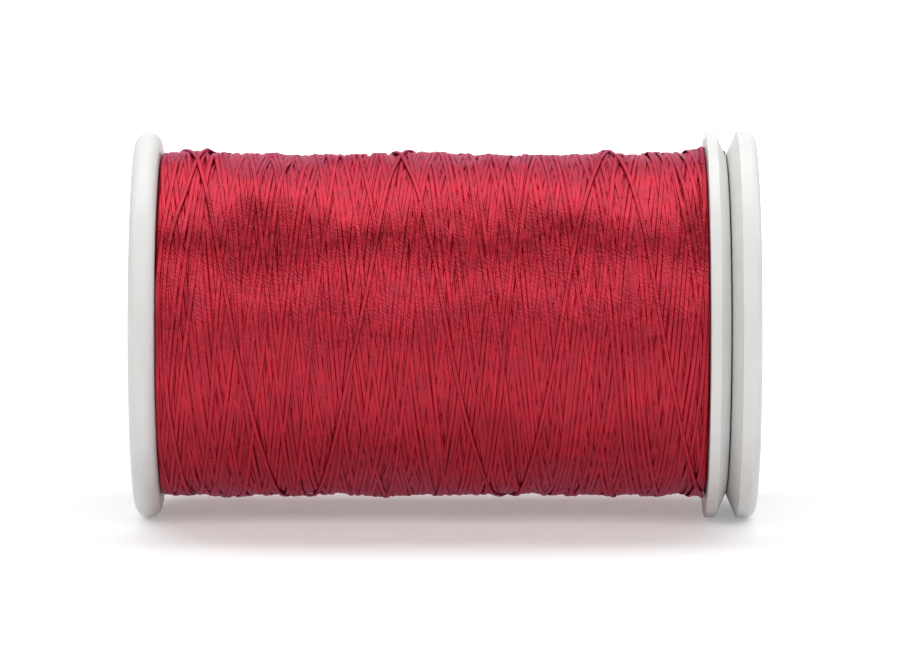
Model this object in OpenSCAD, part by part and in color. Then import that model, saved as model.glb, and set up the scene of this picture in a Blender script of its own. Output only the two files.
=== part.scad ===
// Snap-lock spool of sewing thread, lying on its side.
//
// The spool turns about X, +Z is up, and the origin is on the axis at the middle
// of the spool's length. The fixed end is at -X. The lock cap is at +X: it slides
// out along X to free the thread's tail, and back in to hold it.

/* [Thread] */
// Diameter of the thread
thread_d = 0.3; // [0.2:0.05:0.4]
// Outside diameter of the wound thread
winding_d = 24; // [21:0.5:25]
// Loops of the outer layer that are drawn
outer_loops = 24; // [12:1:24]
// Angle that the tail runs round the lock groove
tail_wrap = 140; // [60:10:300]

/* [Spool body] */
// Length between the flanges, which the thread fills
reel_l = 38; // [30:1:60]
// Diameter of the flanges and of the lock cap
flange_d = 27; // [26.5:0.5:32]
// Thickness of the flange at the fixed end
fixed_flange_t = 1.8; // [1.4:0.1:3]
// Thickness of the flange at the lock end
lock_flange_t = 1.4; // [1:0.1:2.4]
// Outside diameter of the barrel
barrel_d = 18; // [17:0.5:19.5]
// Wall of the barrel
barrel_wall = 1.2; // [0.9:0.1:1.6]
// Ribs between the collar and the barrel at the fixed end
rib_count = 6; // [3:1:8]
// Thickness of the ribs at both ends
rib_t = 0.8; // [0.6:0.1:1.2]

/* [Spindle hole] */
// Diameter of the hole that goes over a machine's spool pin
spindle_d = 8; // [6:0.5:8.5]
// Wall of the collar round the hole
collar_wall = 1.5; // [1:0.1:1.6]
// Length of the collar at each end
collar_l = 5; // [4:0.5:8]
// Bevel at the hole's mouth
mouth_bevel = 0.4; // [0.2:0.1:0.8]

/* [Lock cap] */
// Thickness of the cap's disc
cap_t = 2; // [1.8:0.1:3]
// How far the cap slides out
cap_travel = 2; // [1:0.1:2.5]
// Length of the spigot that slides in the barrel
spigot_l = 7; // [6:0.5:10]
// Wall of the spigot
spigot_wall = 1; // [0.8:0.1:1.1]
// Slots that split the spigot into spring fingers
slot_count = 4; // [3:1:6]
// Width of a slot
slot_w = 1.6; // [1:0.1:2.4]
// Length of the catch bead at the fingers' tips
bead_l = 1.2; // [0.8:0.1:1.6]
// Height of the catch bead
bead_h = 0.35; // [0.2:0.05:0.4]

/* [Lock groove] */
// Depth of the groove, from the rim towards the axis
groove_depth = 1.6; // [1.2:0.1:1.8]
// Bevel of each side of the groove, measured along the axis at the rim
groove_bevel = 0.7; // [0.5:0.05:0.8]
// Width of the notch in the lock flange, at its floor
notch_w = 2.6; // [2.4:0.1:4]
// Angle of the notch about the axis, from +Y towards +Z
notch_angle = 75; // [60:5:120]

/* [Labels] */
// Outside diameter of the paper labels
label_d = 23; // [20:0.5:23.5]
// Thickness of the paper
label_t = 0.12; // [0.08:0.02:0.16]

/* [Clearances] */
// Radial clearance of the spigot in the barrel
slide_gap = 0.08; // [0.05:0.01:0.1]
// Clearance of the cap from the lock flange when shut, and of the bead at its stops
stop_gap = 0.1; // [0.05:0.01:0.15]
// Clearance of the thread from what it lies on
lay_gap = 0.03; // [0.02:0.01:0.05]
// Clearance round a label in its recess
label_gap = 0.15; // [0.05:0.05:0.3]

/* [Hidden] */
$fn = 96;

// Stations along the axis, from the fixed end to the lock end
spool_l = fixed_flange_t + reel_l + lock_flange_t + stop_gap + cap_t;
x_fixed_face = -spool_l / 2;
x_reel_start = x_fixed_face + fixed_flange_t;
x_reel_end = x_reel_start + reel_l;
x_lock_face = x_reel_end + lock_flange_t;
x_cap_inner = x_lock_face + stop_gap;
x_cap_face = x_cap_inner + cap_t;
x_spigot_tip = x_cap_inner - spigot_l;

// Radii from the axis outwards
spindle_r = spindle_d / 2;
collar_r = spindle_r + collar_wall;
barrel_r = barrel_d / 2;
bore_r = barrel_r - barrel_wall;
spigot_r = bore_r - slide_gap;
flange_r = flange_d / 2;
groove_root_r = flange_r - groove_depth;

// Label recess: as deep as the paper and a little more, between the hole's rim and the label's edge
label_r = label_d / 2;
label_hole_r = collar_r - 0.3;
recess_depth = label_t + 0.08;

// Cap's disc, its root of the slots, and the gussets at the foot of the collar
cap_edge_r = 0.6;
slot_root = 1.6;
gusset_h = 1.2;
join = 0.4;

// The outer layer: loops of the thread's true diameter over a plain core
loop_rings = 24;
loop_sides = 6;
loop_r = (winding_d - thread_d) / 2;
core_r = loop_r * cos(180 / loop_rings) - thread_d / 2 - lay_gap;
loop_start_x = x_reel_start + thread_d;
loop_end_x = x_reel_end - thread_d;
loop_rise = (loop_end_x - loop_start_x) / (outer_loops * loop_rings);
loop_pitch = loop_rise * loop_rings;

// The tail: it leaves the last loop, turns through the notch and lies in the lock groove
tail_sides = 8;
tail_floor_gap = 0.1;
tail_lift = 24;
tail_room = (thread_d + 2 * tail_floor_gap - stop_gap) / 2;
tail_r = groove_root_r + groove_depth * tail_room / groove_bevel;
tail_groove_x = x_lock_face + stop_gap / 2;
notch_floor_r = tail_r - thread_d / 2 - tail_floor_gap;
notch_turn = (notch_w - thread_d) / tail_r * 180 / PI;
tail_turn_start = notch_angle + notch_turn / 2;
tail_lift_start = tail_turn_start + tail_lift;

// A point of the thread at radius r and angle a about the axis
function around(r, a, x) = [x, r * cos(a), r * sin(a)];
function unit(v) = v / norm(v);
// A soft step from 0 to 1
function ease(t) = (1 - cos(180 * t)) / 2;
function blend(a, b, t) = a + (b - a) * t;

// Centre of each ring of the outer layer, wound towards -angle and +X
loop_centres = [for (k = [0 : outer_loops * loop_rings])
    around(loop_r, tail_lift_start + (outer_loops * loop_rings - k) * 360 / loop_rings,
        loop_start_x + k * loop_rise)];
// Both ends run straight on for one diameter of the thread
function run_on(from, to) = to + unit(to - from) * thread_d;
last_ring = len(loop_centres) - 1;
loop_route = concat(
    [run_on(loop_centres[1], loop_centres[0])],
    loop_centres,
    [run_on(loop_centres[last_ring - 1], loop_centres[last_ring])]);

// The tail's stretches: straight on from the last loop, up off the winding, across through
// the notch, and round the groove. Over the winding it stays as far out as the last loop.
lift_steps = 8;
cross_steps = 10;
wrap_steps = ceil(tail_wrap / 5);
tail_heading = unit(loop_route[last_ring + 2] - loop_route[last_ring + 1]);
tail_start = loop_route[last_ring + 2] + tail_heading * lay_gap;
tail_free = tail_start + tail_heading * thread_d;
free_r = norm([tail_free.y, tail_free.z]);
free_angle = atan2(tail_free.z, tail_free.y);
crest_r = max(free_r, tail_r);
tail_route = concat(
    [tail_start],
    [for (k = [0 : lift_steps])
        around(blend(free_r, crest_r, ease(k / lift_steps)),
            blend(free_angle, tail_turn_start, k / lift_steps), tail_free.x)],
    [for (k = [1 : cross_steps])
        around(blend(crest_r, tail_r, ease(max(0, 2 * k / cross_steps - 1))),
            tail_turn_start - notch_turn * k / cross_steps,
            blend(tail_free.x, tail_groove_x, ease(k / cross_steps)))],
    [for (k = [1 : wrap_steps])
        around(tail_r, tail_turn_start - notch_turn - tail_wrap * k / wrap_steps, tail_groove_x)]);

// Least distance between the outer layer's surfaces, over points at least half a loop apart
outer_gap = min([for (i = [0 : last_ring - loop_rings / 2])
    min([for (j = [i + loop_rings / 2 : min(i + 3 * loop_rings, last_ring)])
        norm(loop_centres[i] - loop_centres[j])])]) - thread_d;
echo(outer_layer_gap_mm = outer_gap, outer_layer_pitch_mm = loop_pitch);

// Turns a half outline about X: an outline point is [radius, place along X]
module turned() {
    rotate([0, 90, 0])
        rotate_extrude()
            children();
}

// A rectangle of a half outline
module band(r_from, r_to, x_from, x_to) {
    translate([r_from, x_from])
        square([r_to - r_from, x_to - x_from]);
}

// The bevel at the mouth of the spindle hole: out is -1 at the fixed end and 1 at the lock end
module hole_mouth(x_face, out) {
    over = 0.2;
    polygon([
        [spindle_r - over, x_face + out * over],
        [spindle_r + mouth_bevel + over, x_face + out * over],
        [spindle_r - over, x_face - out * (mouth_bevel + over)]]);
}

// The shallow ring that a label lies in
module label_recess(x_face, out) {
    band(label_hole_r - label_gap, label_r + label_gap,
        min(x_face, x_face - out * recess_depth), max(x_face, x_face - out * recess_depth));
}

// Ribs that stand out from the collar like spokes
module spokes(count, r_to, x_from, x_to, first_angle) {
    for (k = [0 : count - 1])
        rotate([first_angle + k * 360 / count, 0, 0])
            translate([x_from, collar_r - join, -rib_t / 2])
                cube([x_to - x_from, r_to - collar_r + 2 * join, rib_t]);
}

// A tube of the thread along a route, whose rings stand square to it
module thread_tube(route, sides) {
    count = len(route);
    last = count - 1;
    corners = [for (i = [0 : last])
        let (
            along = unit(route[min(i + 1, last)] - route[max(i - 1, 0)]),
            outward = unit([0, route[i].y, route[i].z]),
            up = unit(outward - (outward * along) * along),
            side = cross(along, up))
        for (s = [0 : sides - 1])
            route[i] + (up * cos(s * 360 / sides) + side * sin(s * 360 / sides)) * thread_d / 2];
    walls = [for (i = [0 : last - 1])
        for (s = [0 : sides - 1])
            let (
                a = i * sides + s,
                b = i * sides + (s + 1) % sides,
                c = a + sides,
                d = b + sides)
            each [[a, c, d], [a, d, b]]];
    first_cap = [for (s = [1 : sides - 2]) [0, s, s + 1]];
    last_cap = [for (s = [1 : sides - 2])
        [last * sides, last * sides + s + 1, last * sides + s]];
    polyhedron(points = corners, faces = concat(walls, first_cap, last_cap));
}

// Barrel, both flanges, the spindle collar and the shoulder that stops the cap's bead
module spool_body() {
    color("white")
        difference() {
            union() {
                turned()
                    difference() {
                        union() {
                            band(bore_r, barrel_r, x_fixed_face, x_lock_face);
                            band(spindle_r, flange_r - fixed_flange_t / 2, x_fixed_face, x_reel_start);
                            translate([flange_r - fixed_flange_t / 2, x_fixed_face + fixed_flange_t / 2])
                                circle(d = fixed_flange_t);
                            band(spindle_r, collar_r, x_fixed_face, x_fixed_face + collar_l);
                            polygon([
                                [bore_r, x_reel_end],
                                [flange_r, x_reel_end],
                                [flange_r, x_lock_face - groove_bevel],
                                [groove_root_r, x_lock_face],
                                [bore_r, x_lock_face]]);
                        }
                        hole_mouth(x_fixed_face, -1);
                        label_recess(x_fixed_face, -1);
                        band(bore_r - join, bore_r + bead_h + slide_gap,
                            x_spigot_tip - stop_gap, x_spigot_tip + bead_l + cap_travel + stop_gap);
                    }
                spokes(rib_count, bore_r, x_reel_start - join, x_fixed_face + collar_l, 0);
            }
            lock_notch();
        }
}

// The slanted notch through the lock flange that the tail turns in
module lock_notch() {
    flare = 0.5;
    rotate([notch_angle, 0, 0])
        translate([x_reel_end - join, 0, 0])
            rotate([90, 0, 90])
                linear_extrude(lock_flange_t + 2 * join)
                    polygon([
                        [notch_floor_r, -notch_w / 2],
                        [flange_r + join, -notch_w / 2 - flare],
                        [flange_r + join, notch_w / 2 + flare],
                        [notch_floor_r, notch_w / 2]]);
}

// Disc, spindle collar and the slotted spigot with its catch bead
module lock_cap() {
    color("whitesmoke")
        union() {
            turned()
                difference() {
                    union() {
                        polygon([
                            [spindle_r, x_cap_inner],
                            [groove_root_r, x_cap_inner],
                            [flange_r, x_cap_inner + groove_bevel],
                            [flange_r, x_cap_face - cap_edge_r],
                            [flange_r - cap_edge_r, x_cap_face],
                            [spindle_r, x_cap_face]]);
                        translate([flange_r - cap_edge_r, x_cap_face - cap_edge_r])
                            circle(r = cap_edge_r);
                        band(spindle_r, collar_r, x_cap_face - collar_l, x_cap_face);
                    }
                    hole_mouth(x_cap_face, 1);
                    label_recess(x_cap_face, 1);
                }
            difference() {
                turned() {
                    band(spigot_r - spigot_wall, spigot_r, x_spigot_tip, x_cap_inner + join);
                    polygon([
                        [spigot_r - join, x_spigot_tip],
                        [spigot_r, x_spigot_tip],
                        [spigot_r + bead_h, x_spigot_tip + bead_l / 2],
                        [spigot_r + bead_h, x_spigot_tip + bead_l],
                        [spigot_r - join, x_spigot_tip + bead_l]]);
                }
                for (k = [0 : slot_count - 1])
                    rotate([k * 360 / slot_count, 0, 0])
                        translate([x_spigot_tip - join, 0, -slot_w / 2])
                            cube([spigot_l + join - slot_root, spigot_r + bead_h + join, slot_w]);
            }
            spokes(slot_count, spigot_r - spigot_wall, x_cap_inner - gusset_h, x_cap_inner + join,
                180 / slot_count);
        }
}

// The wound thread under the outer layer, filling the barrel from flange to flange
module thread_winding() {
    color("firebrick")
        turned()
            band(barrel_r + lay_gap, core_r, x_reel_start + lay_gap, x_reel_end - lay_gap);
}

// The outer layer of the winding, one unbroken thread
module thread_outer_turns() {
    color("crimson")
        thread_tube(loop_route, loop_sides);
}

// The thread's end, from the last loop through the notch and round the lock groove
module thread_tail() {
    color("crimson")
        thread_tube(tail_route, tail_sides);
}

// A paper ring in the recess of an end face: out is -1 at the fixed end and 1 at the lock end
module label_ring(x_face, out) {
    floor_x = x_face - out * recess_depth;
    color("silver")
        turned()
            band(label_hole_r, label_r, min(floor_x, floor_x + out * label_t),
                max(floor_x, floor_x + out * label_t));
}

module label_fixed_end() {
    label_ring(x_fixed_face, -1);
}

module label_lock_end() {
    label_ring(x_cap_face, 1);
}

spool_body();
lock_cap();
thread_winding();
thread_outer_turns();
thread_tail();
label_fixed_end();
label_lock_end();
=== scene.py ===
# %% [markdown]
# # A spool of red sewing thread
#
# The object is a small snap-lock spool: a white moulded reel, a cap that slides out to
# free the thread's end, two paper labels, and about 170 metres of shiny red thread.
# Nearly all that one sees is the thread, so most of this lesson is about how thread is
# wound, and how light runs over it. The reel, the cap and the labels come from the CAD
# frame and only get a finish here.

import math

import bpy
import numpy as np
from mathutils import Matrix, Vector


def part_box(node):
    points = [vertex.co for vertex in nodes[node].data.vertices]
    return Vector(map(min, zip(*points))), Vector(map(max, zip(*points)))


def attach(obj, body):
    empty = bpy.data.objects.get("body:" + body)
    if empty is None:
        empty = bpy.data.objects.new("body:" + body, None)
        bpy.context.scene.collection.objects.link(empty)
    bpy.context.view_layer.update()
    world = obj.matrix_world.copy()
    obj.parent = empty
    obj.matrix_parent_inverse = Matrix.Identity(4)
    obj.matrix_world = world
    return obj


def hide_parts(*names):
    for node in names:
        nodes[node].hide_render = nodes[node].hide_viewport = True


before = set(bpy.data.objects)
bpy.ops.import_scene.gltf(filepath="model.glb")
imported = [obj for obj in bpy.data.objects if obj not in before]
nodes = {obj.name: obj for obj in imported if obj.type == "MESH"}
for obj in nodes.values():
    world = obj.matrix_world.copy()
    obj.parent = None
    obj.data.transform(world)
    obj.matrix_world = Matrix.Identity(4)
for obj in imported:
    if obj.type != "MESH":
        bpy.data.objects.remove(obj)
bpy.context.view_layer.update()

# %% [markdown]
# ## Measures
#
# All lengths below are in millimetres and are turned into metres when a mesh is made.
# The spool's axis is X, and Z is up. The CAD nodes say where the reel starts and ends,
# so the winding is placed from them and not from typed numbers.

# %% Measures of the spool
MM = 0.001
X, Y, Z = 0, 1, 2


def node_span(name, axis):
    """Lowest and highest coordinate of a CAD node along one axis, in millimetres."""
    low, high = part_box(name)
    return low[axis] / MM, high[axis] / MM


winding_low, winding_high = node_span("thread_winding", X)
loops_bottom, loops_top = node_span("thread_outer_turns", Z)
flange_radius = node_span("spool_body", Z)[1]
winding_radius = (loops_top - loops_bottom) / 2
winding_middle = (winding_low + winding_high) / 2
winding_length = winding_high - winding_low
print(f"winding {winding_length:.2f} mm long, radius {winding_radius:.2f} mm, flange {flange_radius:.2f} mm")

# %% [markdown]
# ## Putting arrays into meshes
#
# Every new piece is a set of points worked out by numpy as whole arrays. A grid of
# points becomes a skin of four-sided faces, and one helper writes points, faces, the
# UV map and the smooth shading into a Blender mesh. The UV map is needed by thread
# alone: along the strand and round it, so that the twist follows the thread.

# %% Mesh helpers
def grid_faces(rows, columns, wrap):
    """Faces of a grid of rows x columns points: each runs from point (i, j) over (i, j+1)
    and (i+1, j+1) to (i+1, j). With wrap the last column joins the first, as in a tube."""
    steps = columns if wrap else columns - 1
    i, j = np.meshgrid(np.arange(rows - 1), np.arange(steps), indexing="ij")
    right = (j + 1) % columns
    corners = [i * columns + j, i * columns + right, (i + 1) * columns + right, (i + 1) * columns + j]
    return np.stack(corners, axis=-1).reshape(-1, 4)


def volume_of(points, quads):
    """Volume inside a closed skin: a sixth of the triple products of its triangles'
    corners, added up. It is above 0 where the faces point outwards."""
    a, b, c, d = (points[quads[:, k]] for k in range(4))
    return float((np.cross(a, b) * c).sum() + (np.cross(a, c) * d).sum()) / 6


def make_piece(name, points, quads, caps=(), uv=None):
    """Makes a mesh object from points in millimetres, four-sided faces and closing caps.
    uv holds one pair for each corner of the four-sided faces, in their order."""
    mesh = bpy.data.meshes.new(name)
    corners = np.concatenate([quads.ravel(), *caps]).astype(np.int32)
    sizes = np.concatenate([np.full(len(quads), 4), [len(cap) for cap in caps]]).astype(np.int32)
    starts = np.concatenate([[0], np.cumsum(sizes)[:-1]]).astype(np.int32)
    mesh.vertices.add(len(points))
    mesh.vertices.foreach_set("co", (points * MM).astype(np.float32).ravel())
    mesh.loops.add(len(corners))
    mesh.loops.foreach_set("vertex_index", corners)
    mesh.polygons.add(len(sizes))
    mesh.polygons.foreach_set("loop_start", starts)
    mesh.polygons.foreach_set("use_smooth", sizes == 4)
    if uv is not None:
        layer = mesh.uv_layers.new(name="strand")
        values = np.zeros((len(corners), 2), np.float32)
        values[: len(uv)] = uv
        layer.data.foreach_set("uv", values.ravel())
    mesh.update(calc_edges=True)
    mesh.validate()
    piece = bpy.data.objects.new(name, mesh)
    bpy.context.scene.collection.objects.link(piece)
    print(f"{name}: {len(points)} points, {len(sizes)} faces")
    return piece


# %% [markdown]
# ## How the thread is wound
#
# A winding machine turns the reel while a guide runs to and fro along it. The thread is
# laid as a slanting coil that turns back at each flange, so the layers cross at a small
# angle, here about 5 degrees either way, and some 5.4 turns take the guide from end to
# end. The thread goes on in ribbons: of six runs, the three out lie side by side, and so
# do the three back.
#
# Drawing such coils straight on a cylinder looks false, because each strand would cut
# through the ones below it. So the winding is played through instead: a map of the
# surface's height, unrolled round the reel, is kept while one strand after another is
# laid on it. What is left on top then has the bridges, dips and dark slits of a real
# winding.
#
# On the map a strand is narrow and very flat, because the strands of a tight winding are
# pressed into one another. The strand that is drawn later is a little wider and higher,
# so neighbours touch and each shows its flanks.

# %% Height map of the reel
strand_width = 0.28  # a strand on the map, in millimetres
strand_height = 0.04
steps_per_turn = 160
fine_steps = 4  # map columns for each step
cell = 0.03  # length of a map cell along the reel
margin = 0.6  # spare map beyond each flange

columns = steps_per_turn * fine_steps
map_cells = int(round((winding_length + 2 * margin) / cell))
step_length = 2 * math.pi * winding_radius / steps_per_turn
half_width = strand_width / 2
offsets = np.arange(-0.9, 0.91, 0.18) * half_width
underside = strand_height / 2 * np.sqrt(1 - (offsets / half_width) ** 2)
print(f"height map {columns} x {map_cells} cells, {len(offsets)} points across a strand")


def map_cell(x):
    """Cell of the map for each place x along the reel, held inside the map."""
    place = np.round((x + winding_length / 2 + margin) / cell).astype(int)
    return np.clip(place, 0, map_cells - 1)


def cells_across(x):
    """Map cells across the strand, for each fine step: rows are steps, columns offsets."""
    return map_cell(x[:, None] + offsets[None, :])


def fine(values):
    """The same values at the finer steps of the height map, by straight lines between."""
    count = len(values)
    return np.interp(np.arange(count * fine_steps) / fine_steps, np.arange(count), values)


# %% [markdown]
# ## The run of the guide
#
# In the machine a cam drives the guide, so it moves evenly and turns back within a small
# part of its way. A plain zigzag could stand for that, but its corners would be sharp and
# its strands dead straight. Here the speed falls softly at both ends, and three slow
# waves make each run sway, as thread does under a tension that is never quite even.

# %% Path of one run
rng = np.random.default_rng(41)
end_room = 0.17  # least gap between a strand's middle and the flange
reversal_share = 0.03  # share of the run in which the guide slows down
reversal_speed = 0.02  # slowest speed of the guide, with 1 as its even speed
sway_lengths = np.array([[21.0], [34.0], [55.0]])
sway_stretch = (0.8, 1.25)  # least and most that a wave's length is multiplied by
sway_size = 0.1
sway_norm = 1.7  # about the root of three, because three waves are added
sway_fade_steps = 25


def traverse(steps, forward, inset, start_x):
    """Place along the reel for each step of one run of the guide: the running sum of a
    speed that is even but for soft reversals, stretched from the start to the end."""
    t = np.linspace(0, 1, steps + 1)
    speed = np.clip(np.minimum(t, 1 - t) / reversal_share, reversal_speed, 1)
    run = np.concatenate([[0], np.cumsum((speed[1:] + speed[:-1]) / 2)])
    run = run / run[-1]
    end_x = (1 if forward else -1) * (winding_length / 2 - end_room - inset)
    return start_x + (end_x - start_x) * run


def end_fade(count, steps):
    """A weight for each of count places: 0 at both ends, rising evenly to 1 over a number
    of steps."""
    from_ends = np.minimum(np.arange(count), count - 1 - np.arange(count))
    return np.minimum(1, from_ends / steps)


def draw_sway():
    """Random lengths and phases of the three slow waves, as two columns."""
    lengths = sway_lengths * rng.uniform(*sway_stretch, sway_lengths.shape)
    return np.concatenate([lengths, rng.random(sway_lengths.shape)], axis=1)


def sway(count, waves):
    """Sideways sway of a run: the sum of three sines of the path's length, each with its
    own length and phase, faded to 0 at both ends."""
    s = np.arange(count) * step_length
    total = np.sin(2 * math.pi * (s / waves[:, :1] + waves[:, 1:])).sum(axis=0)
    return total * end_fade(count, sway_fade_steps) * sway_size / sway_norm


# %% [markdown]
# ## Resting on what lies below
#
# Real thread slips a little sideways into a hollow, rests on the strands below, and spans
# the gaps like a taut string. A simulation of so much thread would take hours. The map
# gives nearly the same by three whole-array steps: the height at which the strand's
# underside clears the map, the same for a few places beside it, and an averaging with
# its neighbours that lifts it clear of the gaps.

# %% Laying one strand
slip_reach = 0.1
slip_places = 5
slip_cost = 0.12  # price of the longest slip, in heights of a strand
slip_look = 7  # steps either side over which a hollow is judged
slip_softness = (10, 8)  # steps either side over which the slip is evened out, twice
slip_fade_steps = 10
taut_rounds = 60


def support(height, column, x):
    """Lowest height at which a strand at x clears everything below it, for each step:
    the highest of the map plus the strand's own underside, over its width."""
    under = height[column[:, None], cells_across(x)] + underside[None, :]
    return under.max(axis=1).reshape(-1, fine_steps).max(axis=1)


def smooth(values, reach):
    """Running mean over a number of steps either side, with the ends held."""
    padded = np.pad(values, reach, mode="edge")
    total = np.concatenate([[0], np.cumsum(padded)])
    width = 2 * reach + 1
    return (total[width:] - total[:-width]) / width


def slip(height, column, x):
    """Sideways slip of each step: of five places from side to side, the one whose support,
    averaged along the strand, is lowest, with a price on the square of the slip."""
    shifts = np.linspace(-slip_reach, slip_reach, slip_places)
    levels = np.stack([smooth(support(height, column, fine(x + shift)), slip_look) for shift in shifts])
    levels = levels + slip_cost * strand_height * (shifts[:, None] / slip_reach) ** 2
    chosen = shifts[levels.argmin(axis=0)]
    for reach in slip_softness:
        chosen = smooth(chosen, reach)
    return chosen


def pull_taut(rest):
    """Height of the taut strand: over each support it touches, and between them it runs
    straight, which over a round reel dips by step squared over twice the radius."""
    dip = step_length**2 / (2 * winding_radius)
    z = rest.copy()
    for _ in range(taut_rounds):
        z[1:-1] = np.maximum(rest[1:-1], (z[:-2] + z[2:]) / 2 - dip)
    return z


def raise_map(height, column, x, z):
    """Raises the map to the strand's upper side wherever that is higher. The cell beside
    each place is raised too, so that no cell between two places is missed."""
    top = fine(z)[:, None] + underside[None, :]
    cells = cells_across(fine(x))
    for covered in (cells, np.clip(cells + 1, 0, map_cells - 1)):
        height[column[:, None], covered] = np.maximum(height[column[:, None], covered], top)


def lay(height, start_column, x):
    """Lays one run on the map: it slips, is held between the flanges, is pulled taut and
    raises the map. Returns its places along the reel and its heights."""
    column = (start_column + np.arange(len(x) * fine_steps)) % columns
    x = x + slip(height, column, x) * end_fade(len(x), slip_fade_steps)
    x = np.clip(x, end_room - winding_length / 2, winding_length / 2 - end_room)
    z = pull_taut(support(height, column, fine(x)))
    raise_map(height, column, x, z)
    return x, z


# %% [markdown]
# ## How many turns each run takes
#
# The same number of turns for every run would pile the strands up in a fixed lattice of
# diamonds. A good machine shifts its pattern all the time, so that the thread fills the
# hollows. So the first and the last run of each six try several numbers of turns and
# keep the one whose path is lowest on the map, and the runs between lie beside them. Two
# late runs are loose and steep, like the odd strands that lie across any spool in use,
# and the very last one ends where the tail leaves it.

# %% Choosing the steps of a run
mean_turns = 5.4
turns_spread = 1.0
turn_choices = 25
turn_jitter = 0.03
look_every = 9  # fine steps between the places at which a path is judged
look_across = slice(1, None, 3)  # cells across the strand that are looked at
ribbon_runs = 6
ribbon_gap = 0.29  # from strand to strand in a ribbon
passes_laid = 377  # runs that are played through
passes_kept = 120  # the last of them, which are drawn
loose_runs = {passes_laid - 3: 8.5, passes_laid - 2: 0.7}  # run, and where it crosses the front
loose_turns = np.linspace(2.6, 3.6, 80)  # fewer turns make a steeper run
closing_turns = 5
front_angle = 180.0  # angle of step 0, at the reel's front (-Y)
tail_leaves_at = 104.33  # angle at which the tail leaves the last run
step_angle = 360.0 / steps_per_turn


def best_steps(height, start_column, forward, inset, start_x):
    """Number of steps for the next run: of two dozen choices, the one whose path is lowest
    on the map, taken as the mean along the path of the highest cell across it."""
    choices = mean_turns + np.linspace(-turns_spread, turns_spread, turn_choices)
    choices = np.round((choices + rng.uniform(-turn_jitter, turn_jitter)) * steps_per_turn).astype(int)
    levels = []
    for steps in choices:
        x = fine(traverse(steps, forward, inset, start_x))[::look_every]
        column = (start_column + np.arange(len(x)) * look_every) % columns
        levels.append(height[column[:, None], cells_across(x)[:, look_across]].max(axis=1).mean())
    return int(choices[int(np.argmin(levels))])


def return_steps(first):
    """Number of steps for the way back, near that of the way out, so that the next run
    out starts just far enough round the reel to lie one strand beside the last."""
    beside = round(ribbon_gap / winding_length * first)
    change = (beside - 2 * first) % steps_per_turn
    if change > steps_per_turn / 2:
        change -= steps_per_turn
    return first + change


def loose_steps(step, forward, inset, start_x, aim):
    """Number of steps for a loose, steep run: of many choices, the one that crosses the
    front of the reel nearest to the place aim, in millimetres from the middle."""
    choices = np.round(loose_turns * steps_per_turn).astype(int)
    misses = []
    for steps in choices:
        x = traverse(steps, forward, inset, start_x)
        crossings = np.flatnonzero((step + np.arange(len(x))) % steps_per_turn == 0)
        misses.append(np.abs(x[crossings] - aim).min())
    return int(choices[int(np.argmin(misses))])


def closing_steps(step):
    """Number of steps for the last run: whole turns, and the rest of a turn to the angle
    at which the tail leaves it."""
    last = round((front_angle - tail_leaves_at) / step_angle)
    return closing_turns * steps_per_turn + (last - step) % steps_per_turn


def choose_steps(number, height, step, inset, start_x, ribbon_steps):
    """Number of steps for a run by its kind: the last, a loose one, the first or the last
    of a ribbon, the first way back, or one that repeats the run two before it."""
    forward = number % 2 == 0
    place = number % ribbon_runs
    if number == passes_laid - 1:
        return closing_steps(step)
    if number in loose_runs:
        return loose_steps(step, forward, inset, start_x, loose_runs[number])
    if place in (0, ribbon_runs - 1):
        return best_steps(height, step * fine_steps % columns, forward, inset, start_x)
    if place == 1:
        return return_steps(ribbon_steps[0])
    return ribbon_steps[number % 2]


# %% Winding the reel
end_spread = 0.9  # how far short of the flange a ribbon may turn back
end_crowding = 1.5  # above 1, more ribbons turn back close to the flange


def wind():
    """Lays run after run on the map. Returns the map and one row per kept step: the turn
    angle in steps, the place along the reel and the height, with the run's number."""
    height = np.zeros((columns, map_cells))
    step = 0
    x_now = -winding_length / 2 + end_room
    ribbon_steps = [0, 0]
    kept = []
    for number in range(passes_laid):
        place = number % ribbon_runs
        if place == 0:
            insets = rng.random(2) ** end_crowding * end_spread
            waves = [draw_sway(), draw_sway()]
        inset = insets[number % 2]
        steps = choose_steps(number, height, step, inset, x_now, ribbon_steps)
        if place < 2:
            ribbon_steps[place] = steps
        path = traverse(steps, number % 2 == 0, inset, x_now)
        path = path + sway(len(path), waves[number % 2])
        x, z = lay(height, step * fine_steps % columns, path)
        if number >= passes_laid - passes_kept:
            kept.append(np.stack([step + np.arange(len(x)), x, z, np.full(len(x), number)], axis=1))
        step += len(x) - 1
        x_now = x[-1]
    return height, kept


height_map, strands = wind()
rim_cells = 60  # cells at each end of the map that are left out of the measures
inner = height_map[:, rim_cells:-rim_cells]
print("kept runs:", len(strands), "steps:", sum(len(run) for run in strands))
print("height: low %.2f middle %.2f high %.2f mm" % tuple(np.percentile(inner, [2, 50, 98])))

# %% [markdown]
# ## The skin of the winding
#
# A real winding is pressed to an even skin, with slow hills and hollows, while the map
# has piled up every crossing. Its strands could be drawn at the map's own heights, but
# the reel would look lumpy. So the map is split in two by a wide blur: the blurred part
# is the winding's level, of which only a share is kept, and what a strand lies above or
# below that level is its own dip, which keeps its full size but for a limit.

# %% Level without single strands
level_reach = 1.2
wound_share = 0.3  # cells lower than this share of the highest one lie beyond the winding
least_weight = 0.05


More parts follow.
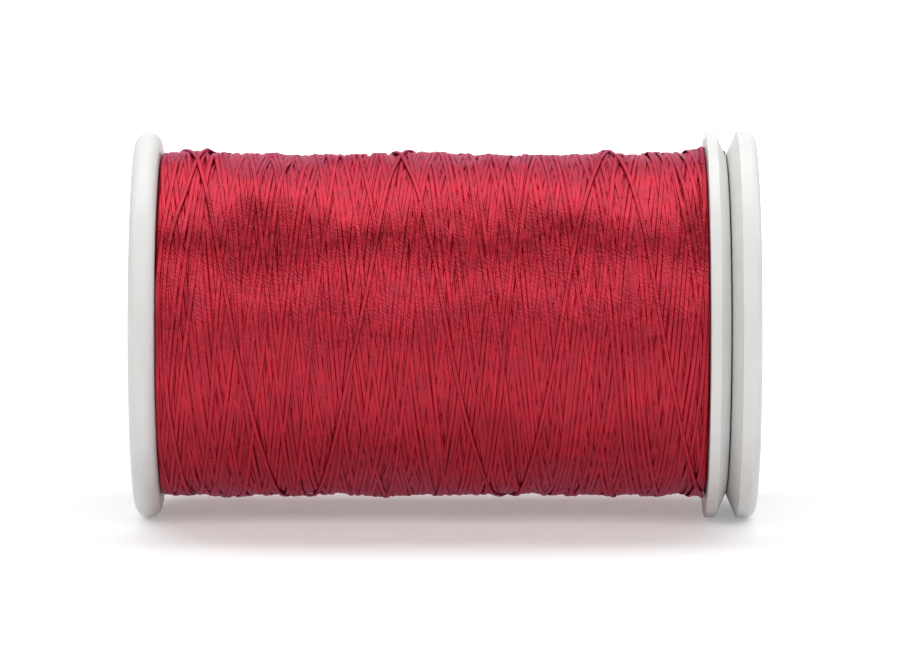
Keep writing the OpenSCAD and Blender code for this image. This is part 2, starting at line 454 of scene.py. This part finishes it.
def soft_level(height):
    """Height of the winding without its single strands: the map weighed by a bell curve
    of level_reach millimetres, worked out as a product of waves. Cells outside the reel
    weigh nothing, so the ends aren't pulled down."""
    inside = (height > height.max() * wound_share).astype(float)
    waves_round = np.fft.fftfreq(columns, step_length / fine_steps)[:, None]
    waves_along = np.fft.rfftfreq(map_cells, cell)[None, :]
    bell = np.exp(-2 * (math.pi * level_reach) ** 2 * (waves_round**2 + waves_along**2))
    blurred = np.fft.irfft2(np.fft.rfft2(height * inside) * bell, s=height.shape)
    weight = np.fft.irfft2(np.fft.rfft2(inside) * bell, s=height.shape)
    return blurred / np.maximum(weight, least_weight)


level_map = soft_level(height_map)
inner_level = level_map[:, rim_cells:-rim_cells]
print(f"level: low {inner_level.min():.2f} high {inner_level.max():.2f} mm")

# %% Radius of the skin
drawn_width = 0.32
drawn_height = 0.09
hollow_share = 0.42  # share of the map's hollows that the skin keeps
slope_share = 0.15  # share of its fall towards the flanges
swell_size = 0.04
swell_turns = np.array([4, 5, 6, 7, 8, 9])
swell_signs = np.array([1, -1, 1, -1, 1, -1])
swell_range = (8.0, 18.0)  # shortest and longest wave along the reel
swell_rng = np.random.default_rng(7)
swell_lengths = swell_rng.uniform(*swell_range, len(swell_turns)) * swell_signs
swell_phases = swell_rng.uniform(0, 2 * math.pi, len(swell_turns))

crown = winding_radius - drawn_height / 2
trend = level_map.mean(axis=0)
top_level = trend[rim_cells:-rim_cells].max()


def swell(angle, x):
    """Slow hills and hollows of the whole winding: the sum of six small cosines, each with
    a whole number of waves round the reel and its own wave length along it."""
    waves = swell_turns * angle[:, None] + 2 * math.pi * x[:, None] / swell_lengths + swell_phases
    return swell_size * np.cos(waves).sum(axis=1)


def ground(column, angle, x):
    """Radius of the winding's skin at a map column and its angle, and a place along the
    reel: the crown, less a share of the hollows round the reel and of the fall along it,
    plus the swell. The map's own level there comes with it."""
    place = map_cell(x)
    level = level_map[column, place]
    slope = top_level - trend[place]
    radius = crown - hollow_share * (trend[place] - level) - slope_share * slope + swell(angle, x)
    return radius, level


def on_reel(angle, radius, x):
    """Points from angles round the axis, radii and places along it, with the outward
    directions there: the cosine of the angle along Y and its sine along Z."""
    outward = np.stack([np.zeros_like(angle), np.cos(angle), np.sin(angle)], axis=1)
    points = outward * radius[:, None]
    points[:, X] = x
    return points, outward


print(f"crown radius {crown:.3f} mm, top level {top_level:.3f} mm")

# %% [markdown]
# ## From paths to thread
#
# A strand is a path with a section carried along it. The section is a flattened circle,
# since a soft thread under tension is wider than it is high. A curve object with a bevel
# could draw it, but keeping its flat side on the reel is easier with arrays. So it is
# built as a grid: one parameter runs along the path, the other round the section. Six
# points round are enough for a thread a third of a millimetre wide, with smooth shading.
# The outer runs are cut into pieces of fifteen runs each, all of them still one thread.

# %% Strand geometry
sink_limit = 0.15  # deepest that a strand may lie below the skin
proud_height = 0.2  # height of a loose strand's section


def tube(centres, outward, half_w, half_h, sides, phase):
    """Points, faces, caps and UVs of a tube: each centre plus half_w times the cosine
    along the side direction plus half_h times the sine along the outward direction. The
    side direction is square to both the path and outward."""
    along = np.gradient(centres, axis=0)
    along /= np.linalg.norm(along, axis=1, keepdims=True)
    out = outward - (outward * along).sum(axis=1, keepdims=True) * along
    out /= np.linalg.norm(out, axis=1, keepdims=True)
    side = np.cross(out, along)
    angle = np.arange(sides) * 2 * math.pi / sides
    ring = np.reshape(half_w, (-1, 1, 1)) * np.cos(angle)[None, :, None] * side[:, None, :]
    ring = ring + np.reshape(half_h, (-1, 1, 1)) * np.sin(angle)[None, :, None] * out[:, None, :]
    points = (centres[:, None, :] + ring).reshape(-1, 3)
    rows = len(centres)
    caps = [np.arange(sides)[::-1], (rows - 1) * sides + np.arange(sides)]
    gaps = np.linalg.norm(np.diff(centres, axis=0), axis=1)
    length = np.concatenate([[0], np.cumsum(gaps)]) + phase
    i, j = np.meshgrid(np.arange(rows - 1), np.arange(sides), indexing="ij")
    u = np.stack([length[i], length[i], length[i + 1], length[i + 1]], axis=-1)
    v = np.stack([j, j + 1, j + 1, j], axis=-1) / sides
    uv = np.stack([u, v], axis=-1).reshape(-1, 2)
    return points, grid_faces(rows, sides, wrap=True), caps, uv


def is_loose(number):
    """True for the steps whose run is one of the loose ones."""
    return np.isin(number, list(loose_runs))


def strand_centres(run):
    """Centres of a strand in space and the outward directions, from its rows of turn
    steps, places and heights. The angle goes from +Y towards +Z and falls as it winds. A
    strand above the level keeps its height, and one below it sinks by the limit times one
    minus the exponential of minus its depth over the limit."""
    step, x, z, number = run.T
    angle = np.radians(front_angle - step * step_angle)
    column = (step * fine_steps).astype(int) % columns
    skin, level = ground(column, angle, x)
    depth = level - z
    sunk = np.where(depth > 0, sink_limit * (1 - np.exp(-depth / sink_limit)), depth)
    proud = is_loose(number) * (proud_height - drawn_height) / 2
    return on_reel(angle, skin - sunk + proud, winding_middle + x)


# %% Thread pieces
runs_in_piece = 15
strand_sides = 6
uv_shift = 40.0  # added to the UV's length for each run, so no two pieces are alike
winding_pieces = []
for first in range(0, len(strands), runs_in_piece):
    group = strands[first : first + runs_in_piece]
    joined = np.concatenate([group[0]] + [run[1:] for run in group[1:]])
    centres, outward = strand_centres(joined)
    half_heights = np.where(is_loose(joined[:, 3]), proud_height, drawn_height) / 2
    part = tube(centres, outward, drawn_width / 2, half_heights, strand_sides, uv_shift * first)
    piece = make_piece(f"thread_layer_{len(winding_pieces) + 1}", *part)
    print(f"its volume is {volume_of(part[0], part[1]):.1f} mm3")
    winding_pieces.append(piece)
last_centre = centres[-1]
print("the thread's last point in the layers, mm:", np.round(last_centre, 2))

# %% [markdown]
# ## The layers below
#
# Under the outer runs lie hundreds more that nobody sees, but through the slits between
# strands something red has to show. Drawing them all would cost millions of faces. One
# closed skin stands for them: it follows the winding's own skin just below the deepest
# strands, and goes down to the barrel at both ends.

# %% Bed of the deep layers
bed_inner = 9.03  # radius of the barrel's outside, with its clearance
bed_clearance = 0.02
bed_step = 3  # map columns between the bed's points round the reel
bed_rings = 110
bed_ring_uv = 1.2
bed_columns = np.arange(0, columns, bed_step)
bed_places = np.linspace(-winding_length / 2, winding_length / 2, bed_rings)
column_grid, place_grid = np.meshgrid(bed_columns, bed_places)
angle_grid = np.radians(front_angle - column_grid * step_angle / fine_steps)
skin, _ = ground(column_grid.ravel(), angle_grid.ravel(), place_grid.ravel())
skin = skin.reshape(place_grid.shape) - (sink_limit + bed_clearance)
rim = np.full((1, len(bed_columns)), bed_inner)
bed_r = np.concatenate([rim, skin, rim])
bed_x = np.concatenate([place_grid[:1], place_grid, place_grid[-1:]]) + winding_middle
bed_angle = np.concatenate([angle_grid[:1], angle_grid, angle_grid[-1:]])
bed_points, _ = on_reel(bed_angle.ravel(), bed_r.ravel(), bed_x.ravel())
# One row of faces more than the rings have gaps: it joins the last ring to the first,
# inside the reel. The faces are turned round to point outwards.
bed_quads = grid_faces(len(bed_x) + 1, len(bed_columns), wrap=True) % len(bed_points)
bed_quads = bed_quads[:, ::-1]
i, j = np.meshgrid(np.arange(len(bed_x)), np.arange(len(bed_columns)), indexing="ij")
turn_u = np.stack([j, j + 1, j + 1, j], axis=-1) * bed_step * step_length / fine_steps
along_v = np.stack([i + 1, i + 1, i, i], axis=-1) * bed_ring_uv
bed_uv = np.stack([turn_u, along_v], axis=-1).reshape(-1, 2)
bed = make_piece("thread_bed", bed_points, bed_quads, uv=bed_uv)
print(f"bed radius {skin.min():.2f} to {skin.max():.2f} mm")
print(f"its volume is {volume_of(bed_points, bed_quads):.0f} mm3")

# %% [markdown]
# ## The tail
#
# The thread's end leaves the last run, lifts a little off the winding, turns through the
# notch in the flange and lies in the groove between the flange and the cap, which pinch
# it. A curve with a few handles could be bent by hand to fit. Instead it follows the same
# stretches as its CAD solid: a soft rise, a soft crossing along the axis, then round the
# groove. The groove's place comes from the CAD node's box, and the section swells to a
# full circle, because nothing presses it flat there.

# %% Tail
thread_diameter = 0.3
lift_angle = 24.0  # turns in degrees: over the rise, through the notch and in the groove
notch_turn = 10.66
wrap_angle = 140.0
lift_points = 40
cross_points = 40
wrap_points = 160
tail_sides = 10
freed_share = 1 / 6  # share of the tail over which its section swells to a circle
groove_x = node_span("thread_tail", X)[1] - thread_diameter / 2
groove_r = 12.357  # radius at which the thread wedges in the groove


def soft(t):
    """A soft step from 0 to 1 as t goes from 0 to 1: half of one minus the cosine."""
    return (1 - np.cos(math.pi * np.clip(t, 0, 1))) / 2


def tail_path(start):
    """Angles, radii and places of the tail's centre line, as three whole arrays. The
    radius rises by a soft step on the first stretch, the place moves by one on the second,
    and the angle falls evenly on each."""
    start_r = math.hypot(start[Y], start[Z])
    lift = np.linspace(0, 1, lift_points)
    cross = np.linspace(0, 1, cross_points)[1:]
    wrap = np.linspace(0, 1, wrap_points)[1:]
    notch_start = tail_leaves_at - lift_angle
    angles = np.concatenate([
        tail_leaves_at - lift * lift_angle,
        notch_start - cross * notch_turn,
        notch_start - notch_turn - wrap * wrap_angle,
    ])
    radii = np.concatenate([
        start_r + (groove_r - start_r) * soft(lift),
        np.full(len(cross) + len(wrap), groove_r),
    ])
    places = np.concatenate([
        np.full(len(lift), start[X]),
        start[X] + (groove_x - start[X]) * soft(cross),
        np.full(len(wrap), groove_x),
    ])
    return np.radians(angles), radii, places


tail_centres, tail_outward = on_reel(*tail_path(last_centre))
freed = soft(np.linspace(0, 1 / freed_share, len(tail_centres)))
tail_half_w = (drawn_width + (thread_diameter - drawn_width) * freed) / 2
tail_half_h = (drawn_height + (thread_diameter - drawn_height) * freed) / 2
tail = make_piece("thread_end", *tube(tail_centres, tail_outward, tail_half_w, tail_half_h, tail_sides, 0.0))
print(f"tail ends at x {groove_x:.2f} mm, radius {groove_r:.2f} mm")

# %% [markdown]
# ## Writing finishes as sums
#
# A finish is a net of shader nodes. Written node by node it is long and hard to read,
# so a small class wraps a socket and gives it the signs of arithmetic: `1 - mask` then
# adds the Math node by itself. Colours never go through it, because a Math node would
# turn them grey. Every other kind of node comes from the one method `Finish.node`.

# %% Sums on sockets
class Wire:
    """A value that flows from a node's socket, with the signs of arithmetic."""

    def __init__(self, finish, socket):
        self.finish = finish
        self.socket = socket

    def __add__(self, other):
        return self.finish.math("ADD", self, other)

    def __radd__(self, other):
        return self.finish.math("ADD", other, self)

    def __sub__(self, other):
        return self.finish.math("SUBTRACT", self, other)

    def __rsub__(self, other):
        return self.finish.math("SUBTRACT", other, self)

    def __mul__(self, other):
        return self.finish.math("MULTIPLY", self, other)

    def __rmul__(self, other):
        return self.finish.math("MULTIPLY", other, self)

    def __truediv__(self, other):
        return self.finish.math("DIVIDE", self, other)

    def __pow__(self, other):
        return self.finish.math("POWER", self, other)

    def step(self, low, high):
        """A soft step: 0 below low, 1 above high, smooth between."""
        settings = dict(interpolation_type="SMOOTHSTEP")
        inputs = {"Value": self, "From Min": low, "From Max": high}
        return self.finish.node("ShaderNodeMapRange", settings, inputs)["Result"]


class Outputs:
    """A node's outputs, by name or by number."""

    def __init__(self, finish, node):
        self.finish = finish
        self.node = node

    def __getitem__(self, key):
        return Wire(self.finish, self.node.outputs[key])


class Finish:
    """A material whose nodes are added by one method."""

    def __init__(self, name):
        self.material = bpy.data.materials.new(name)
        self.material.use_nodes = True
        self.tree = self.material.node_tree
        self.tree.nodes.clear()
        print("finish:", name)

    def node(self, kind, settings=None, inputs=None):
        """Adds a node: its settings are set first, then its sockets get values or links.
        Returns its outputs as wires."""
        node = self.tree.nodes.new(kind)
        for key, value in (settings or {}).items():
            setattr(node, key, value)
        for key, value in (inputs or {}).items():
            if isinstance(value, Wire):
                self.tree.links.new(value.socket, node.inputs[key])
            else:
                node.inputs[key].default_value = value
        return Outputs(self, node)

    def math(self, operation, *values):
        """One Math node: the operation on wires and plain numbers, in their order."""
        return self.node("ShaderNodeMath", dict(operation=operation), dict(enumerate(values)))[0]

    def vector(self, operation, *values):
        """One Vector Math node on the values, in their order. SCALE takes a number second,
        and DOT_PRODUCT and LENGTH give a number back."""
        inputs = dict(enumerate(values))
        if operation == "SCALE":
            inputs["Scale"] = inputs.pop(1)
        outputs = self.node("ShaderNodeVectorMath", dict(operation=operation), inputs)
        return outputs["Value" if operation in ("DOT_PRODUCT", "LENGTH") else "Vector"]

    def mix(self, factor, first, second):
        """Blends two colours by a factor from 0 to 1. The Mix node has sockets for numbers
        and vectors too, so its colours go in at numbers 6 and 7 and come out at number 2."""
        inputs = {0: factor, 6: first, 7: second}
        return self.node("ShaderNodeMix", dict(data_type="RGBA"), inputs)[2]

    def noise(self, vector, scale, detail=2.0, roughness=0.5):
        """Cloudy noise, mostly between 0.3 and 0.7, with scale patches to one unit."""
        inputs = {"Vector": vector, "Scale": scale, "Detail": detail, "Roughness": roughness}
        return self.node("ShaderNodeTexNoise", None, inputs)["Fac"]

    def bump(self, height, distance, normal=None):
        """A bump whose height is in units of distance, in metres."""
        inputs = {"Height": height, "Distance": distance}
        if normal is not None:
            inputs["Normal"] = normal
        return self.node("ShaderNodeBump", None, inputs)["Normal"]

    def place(self):
        """Where a point lies on the object, in metres."""
        return self.node("ShaderNodeTexCoord")["Object"]

    def close(self, shader):
        """Sends the finished shader to the material's output."""
        self.node("ShaderNodeOutputMaterial", None, {"Surface": shader})
        return self.material

    def principled(self, inputs):
        """Closes the finish with one Principled shader, whose sockets get the inputs."""
        return self.close(self.node("ShaderNodeBsdfPrincipled", None, inputs)["BSDF"])


def rgb(red, green, blue):
    """A colour for a socket, with full opacity."""
    return (red, green, blue, 1.0)


def scaled(colour, factor):
    """A colour for a socket: each channel times the factor."""
    return rgb(*(channel * factor for channel in colour))


# %% [markdown]
# ## The thread's finish
#
# Polyester embroidery thread is two shiny plies twisted together, each a bundle of clear,
# dyed filaments. Its gloss is tinted by its own dye, because light goes in and out of the
# filaments, so a part of metal in the shader gives the red highlight that a white one
# could not. The twist is a bump of slanting grooves along the UV map, and painted shade
# darkens the colour in the grooves between the plies. Each stretch of thread is a little
# lighter or darker than the next.
#
# A tube with a smooth gloss would look like wire, with one thin line of light on each
# strand. A bundle of filaments throws light in a fan square to the thread instead, and
# that makes the broad bright bands across a spool. An anisotropic shader is the usual
# way, but it would have to follow every strand. Here the shading normal does it: it is
# drawn from the tube's own normal towards the direction away from the reel's axis, made
# square to the strand. On the flanks of a strand the light is caught among the filaments
# of its neighbour, and that shade is painted: the colour goes deep dark red there and the
# shader is all metal, which keeps the slits between strands dark red instead of milky.

# %% Thread finish
twist_pitch = 0.62  # length of thread for one turn of its plies
plies = 2
twist_slack = 2.5
ply_sharpness = 0.6  # below 1, the grooves between plies are narrower than the plies
flank_facing = (0.3, 0.92)  # from all flank to no flank, by how far a face looks outwards


def noise_along(finish, along, patches):
    """Noise that changes along the strand alone, with so many patches to a millimetre."""
    line = finish.node("ShaderNodeCombineXYZ", None, {"X": along * patches})["Vector"]
    return finish.noise(line, 1.0)


def ply_relief(finish, along, around):
    """Relief of the twisted plies, from 0 in a groove to 1 on a ply: half of one plus the
    sine of the turns of twist times the plies, to a power below 1. The turns are the
    length over the pitch, plus the way round the strand, plus a slow slack."""
    slack = noise_along(finish, along, 0.9)
    turns = along / twist_pitch + around + slack * twist_slack
    return (finish.math("SINE", turns * (2 * math.pi * plies)) * 0.5 + 0.5) ** ply_sharpness


def filament_fan(finish, place, fan):
    """Flank mask and shading normal of a strand. Crossed is the direction away from the
    axis, less its part along the strand. A flank is where the face looks away from it. The
    normal is the face's own one blended with crossed, by the share fan on top of the
    strand and wholly on its flanks."""
    face = finish.node("ShaderNodeNewGeometry")["Normal"]
    strand = finish.node("ShaderNodeTangent", dict(direction_type="UV_MAP", uv_map="strand"))["Tangent"]
    away = finish.vector("NORMALIZE", finish.vector("MULTIPLY", place, (0.0, 1.0, 1.0)))
    beside = finish.vector("CROSS_PRODUCT", strand, away)
    crossed = finish.vector("NORMALIZE", finish.vector("CROSS_PRODUCT", beside, strand))
    flank = 1 - finish.vector("DOT_PRODUCT", face, crossed).step(*flank_facing)
    share = flank * (1 - fan) + fan
    kept = finish.vector("SCALE", face, 1 - share)
    drawn = finish.vector("SCALE", crossed, share)
    return flank, finish.vector("NORMALIZE", finish.vector("ADD", kept, drawn))


def thread_finish(name, base, shade, fan):
    """Dyed filament thread: its plies, its fan of gloss, slow changes of tone, and painted
    shade in the grooves between plies and on the flanks beside the slits.
    """
    finish = Finish(name)
    place = finish.place()
    uv = finish.node("ShaderNodeUVMap", dict(uv_map="strand"))["UV"]
    parts = finish.node("ShaderNodeSeparateXYZ", None, {0: uv})
    ply = ply_relief(finish, parts["X"], parts["Y"])
    flank, normal = filament_fan(finish, place, fan)
    cloud = finish.noise(place, scale=900.0)
    glint = finish.noise(place, scale=7000.0, detail=3.0, roughness=0.7)
    tone = noise_along(finish, parts["X"], 0.12) * 0.6 + cloud * 0.4
    dye_and_shade = [channel * shade for channel in base]
    colour = finish.mix(tone.step(0.3, 0.7), scaled(dye_and_shade, 0.72), scaled(dye_and_shade, 1.28))
    # Painted shade: the grooves between the plies are darkened in the colour.
    colour = finish.mix((1 - ply) * 0.35, colour, scaled(dye_and_shade, 0.45))
    # Painted shade: the flanks beside the slits between strands are darkened to a deep red.
    colour = finish.mix(flank * 0.95, colour, rgb(base[0] * 0.5, 0.0005, 0.001))
    relief = finish.bump(ply, distance=0.000011, normal=normal)
    return finish.principled({
        "Base Color": colour,
        "Metallic": 0.62 + flank * 0.38,
        "Roughness": 0.29 + cloud * 0.1,
        "IOR": 2.5,
        "Specular Tint": rgb(0.85, 0.36, 0.6),
        "Normal": finish.bump(glint, distance=0.000018, normal=relief),
    })


thread_red = (0.35, 0.0025, 0.004)
# Painted shade: one finish in a lit and a shaded copy. The deep layers' copy takes the dye times 1.0 in
# place of 1.25, so the same thread is painted darker there.
thread_material = thread_finish("dyed_thread", thread_red, shade=1.25, fan=0.75)
deep_material = thread_finish("thread_in_shade", thread_red, shade=1.0, fan=0.0)
for piece in winding_pieces:
    piece.data.materials.append(thread_material)
    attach(piece, "spool")
    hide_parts("thread_outer_turns")
tail.data.materials.append(thread_material)
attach(tail, "spool")
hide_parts("thread_tail")
bed.data.materials.append(deep_material)
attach(bed, "spool")
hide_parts("thread_winding")

# %% [markdown]
# ## White plastic
#
# The reel and the cap are moulded in white polypropylene: smooth, a little milky, with a
# faint orange-peel from the mould and fine rubbed marks near the rims. One flat white
# would look like plaster. The marks could be painted on an image, but noise on the
# object's own coordinates needs no image and has no seams. Light that goes a little way
# into the surface makes it milky, and the distance from the axis says where the rim is.

# %% Plastic finish
rim_inner = 0.0115
rim_outer = 0.0135


def axis_distance(finish, place):
    """Distance from the spool's axis in metres: the root of y squared plus z squared."""
    parts = finish.node("ShaderNodeSeparateXYZ", None, {0: place})
    return (parts["Y"] * parts["Y"] + parts["Z"] * parts["Z"]) ** 0.5


def plastic_finish(name, colour, seed):
    """Moulded white plastic: milky, with faint flow marks and a rim that is rubbed duller.
    The seed is added to the noises' scales, so that no two mouldings are alike."""
    finish = Finish(name)
    place = finish.place()
    rim = axis_distance(finish, place).step(rim_inner, rim_outer)
    cloud = finish.noise(place, scale=160.0 + seed, detail=3.0)
    peel = finish.noise(place, scale=1400.0 + seed)
    scratch = finish.noise(place, scale=5200.0, detail=3.0, roughness=0.7)
    return finish.principled({
        "Base Color": finish.mix(cloud.step(0.35, 0.7) * 0.5, rgb(*colour), scaled(colour, 0.93)),
        "Roughness": 0.3 + cloud * 0.12 + rim * (scratch.step(0.45, 0.7) * 0.18),
        "Specular IOR Level": 0.5,
        "Subsurface Weight": 0.25,
        "Subsurface Radius": (1.0, 0.95, 0.9),
        "Subsurface Scale": 0.0008,
        "Normal": finish.bump(peel + scratch * 0.2 * rim, distance=0.000012),
    })


def dress(node_name, material):
    """Gives a CAD node's object the material in each of its slots."""
    for index in range(len(nodes[node_name].material_slots)):
        nodes[node_name].material_slots[index].material = material


dress("spool_body", plastic_finish("reel_plastic", (0.8, 0.8, 0.785), seed=0.0))
dress("lock_cap", plastic_finish("lock_cap_plastic", (0.81, 0.81, 0.795), seed=37.0))

# %% [markdown]
# ## Paper labels
#
# A thin ring of coated paper is stuck in each end's recess. It bears no words, only two
# printed rings in the thread's own red, a broad one by the rim and a fine one by the
# hole. The rings could be meshes of their own, laid a hair above the paper, but printing
# has no thickness. A ring as a mask in the material is round and sharp at any size, and
# it lets the paper's fibres show through the ink.

# %% Label finish
def printed_ring(radius, inner, outer, softness):
    """A ring as a mask: a step up at its inner edge times one minus a step up at its outer
    edge, each as wide as the softness, all in metres."""
    return radius.step(inner, inner + softness) * (1 - radius.step(outer, outer + softness))


def label_finish(name):
    """Coated paper with faint fibres and two printed red rings."""
    finish = Finish(name)
    place = finish.place()
    radius = axis_distance(finish, place)
    fibre = finish.noise(place, scale=2100.0, detail=4.0, roughness=0.6)
    broad_ring = printed_ring(radius, 0.0099, 0.0108, softness=0.00004)
    fine_ring = printed_ring(radius, 0.0062, 0.00645, softness=0.00003)
    grain = fibre.step(0.25, 0.75)
    paper = finish.mix(grain, rgb(0.76, 0.75, 0.72), rgb(0.8, 0.79, 0.77))
    ink = finish.mix(grain, rgb(0.34, 0.016, 0.027), rgb(0.4, 0.021, 0.033))
    return finish.principled({
        "Base Color": finish.mix(finish.math("MAXIMUM", broad_ring, fine_ring), paper, ink),
        "Roughness": 0.45 + fibre * 0.15,
        "Specular IOR Level": 0.4,
        "Normal": finish.bump(fibre, distance=0.000006),
    })


label_material = label_finish("label_paper")
dress("label_fixed_end", label_material)
dress("label_lock_end", label_material)

# %% [markdown]
# ## Floor and backdrop
#
# The floor is a pale sheet that curves up behind the spool, as a studio's paper roll
# does, so no horizon shows. A flat plane would end in a visible edge. It is a profile
# carried along X: a flat stretch, a quarter of a circle and an upright end. The white
# surround comes from the paper's own glow, which only the camera and mirrors see and
# which grows with the distance from the spool. So no more light falls on the spool, and
# its shadow stays.

# %% Floor
floor_z = -flange_radius
floor_reach = 600.0
floor_width = 2400.0
sweep_radius = 400.0
wall_top = 1200.0
flat_points = 30
bend_points = 30
across_points = 12
near_glow = 0.3  # strength of the paper's own glow at the spool
glow_start = 0.03  # distances in metres between which it rises to 1
glow_full = 0.16


def sweep_grid():
    """Points of the paper sweep, row by row: y runs flat and then by the sine of the bend,
    z by one minus its cosine, both times the bend's radius, up to the wall's top."""
    bend = np.linspace(0, math.pi / 2, bend_points)[1:]
    flat_y = np.linspace(-floor_reach, floor_reach, flat_points)
    bend_y = floor_reach + sweep_radius * np.sin(bend)
    bend_z = floor_z + sweep_radius * (1 - np.cos(bend))
    path_y = np.concatenate([flat_y, bend_y, [floor_reach + sweep_radius]])
    path_z = np.concatenate([np.full(flat_points, floor_z), bend_z, [floor_z + wall_top]])
    across = np.linspace(-floor_width / 2, floor_width / 2, across_points)
    return np.stack([
        np.tile(across, len(path_y)),
        np.repeat(path_y, across_points),
        np.repeat(path_z, across_points),
    ], axis=1)


def sweep_finish(name):
    """White paper that takes shadows, plus a glow for camera, gloss and glass rays. The
    glow's share goes from near_glow at the spool to 1 further out, by a soft step."""
    finish = Finish(name)
    place = finish.place()
    grain = finish.noise(place, scale=300.0)
    white = finish.mix(grain.step(0.3, 0.7), rgb(0.79, 0.79, 0.79), rgb(0.81, 0.81, 0.81))
    paper = finish.node("ShaderNodeBsdfDiffuse", None, {"Color": white})["BSDF"]
    ray = finish.node("ShaderNodeLightPath")
    seen = finish.math("MAXIMUM", ray["Is Camera Ray"], ray["Is Glossy Ray"])
    seen = finish.math("MAXIMUM", seen, ray["Is Transmission Ray"])
    glow = finish.node("ShaderNodeEmission", None, {"Strength": 1.0})[0]
    black = finish.node("ShaderNodeEmission", None, {"Strength": 0.0})[0]
    distance = finish.vector("LENGTH", place)
    fill = seen * (near_glow + (1 - near_glow) * distance.step(glow_start, glow_full))
    lift = finish.node("ShaderNodeMixShader", None, {0: fill, 1: black, 2: glow})[0]
    return finish.close(finish.node("ShaderNodeAddShader", None, {0: paper, 1: lift})[0])


sweep_points = sweep_grid()
sweep_rows = len(sweep_points) // across_points
floor = make_piece("floor", sweep_points, grid_faces(sweep_rows, across_points, wrap=False))
floor.data.materials.append(sweep_finish("white_paper_sweep"))

# %% [markdown]
# ## Lamps
#
# Two long soft boxes lie along the spool: a large one above and a little behind it, and
# one in front, a third of the way up. Each draws a bright band along the winding, and
# the thread between the bands mirrors the darker room. A single lamp would give only one
# band. The world adds a little even light from all sides.

# %% Lamps
def soft_box(name, angle, distance, length, width, watts):
    """A rectangular lamp that looks at the spool's axis: its angle goes from the camera's
    side (-Y) up and over towards +Y, in degrees."""
    data = bpy.data.lights.new(name, "AREA")
    data.shape = "RECTANGLE"
    data.size = length * MM
    data.size_y = width * MM
    data.energy = watts
    lamp = bpy.data.objects.new(name, data)
    a = math.radians(angle)
    lamp.location = (winding_middle * MM, -math.cos(a) * distance * MM, math.sin(a) * distance * MM)
    lamp.rotation_euler = (math.radians(90 - angle), 0, 0)
    bpy.context.scene.collection.objects.link(lamp)
    print(f"{name}: {length} x {width} mm, {watts} W at {angle} degrees")


soft_box("soft_box_above", angle=104, distance=320, length=1500, width=230, watts=2.55)
soft_box("soft_box_front", angle=34, distance=420, length=800, width=200, watts=1.18)

world = bpy.data.worlds.new("studio")
bpy.context.scene.world = world
world.use_nodes = True
background = world.node_tree.nodes["Background"]
background.inputs["Color"].default_value = rgb(1, 1, 1)
background.inputs["Strength"].default_value = 0.14

# %% [markdown]
# ## Camera
#
# The camera looks along +Y, level with the spool's length and about 8 degrees above it,
# from far enough away that the ends hardly show. Its place could be found by trial, but
# it is worked out instead: from how many pixels a millimetre takes at the front of the
# winding, and from the pixel at which the middle of the winding lies.

# %% Camera
frame_width_px = 920
frame_height_px = 648
px_per_mm = 14.66
camera_distance = 450.0
camera_rise = 8.0
winding_px_x = 432.5
winding_px_y = 324.5
sensor = 36.0
camera_data = bpy.data.cameras.new("camera")
camera_data.sensor_width = sensor
camera_data.lens = px_per_mm * (camera_distance - winding_radius) * sensor / frame_width_px
camera_data.clip_start = 0.01
camera_data.clip_end = 20
camera = bpy.data.objects.new("camera", camera_data)
bpy.context.scene.collection.objects.link(camera)
bpy.context.scene.camera = camera
rise = math.radians(camera_rise)
side_shift = (frame_width_px / 2 - winding_px_x) / px_per_mm
up_shift = (winding_px_y - frame_height_px / 2) / px_per_mm
camera.location = (
    (winding_middle + side_shift) * MM,
    (-camera_distance * math.cos(rise) - up_shift * math.sin(rise)) * MM,
    (camera_distance * math.sin(rise) + up_shift * math.cos(rise)) * MM,
)
camera.rotation_euler = (math.radians(90 - camera_rise), 0, 0)
bpy.context.scene.view_settings.view_transform = "Standard"
print(f"camera lens {camera_data.lens:.1f} mm")
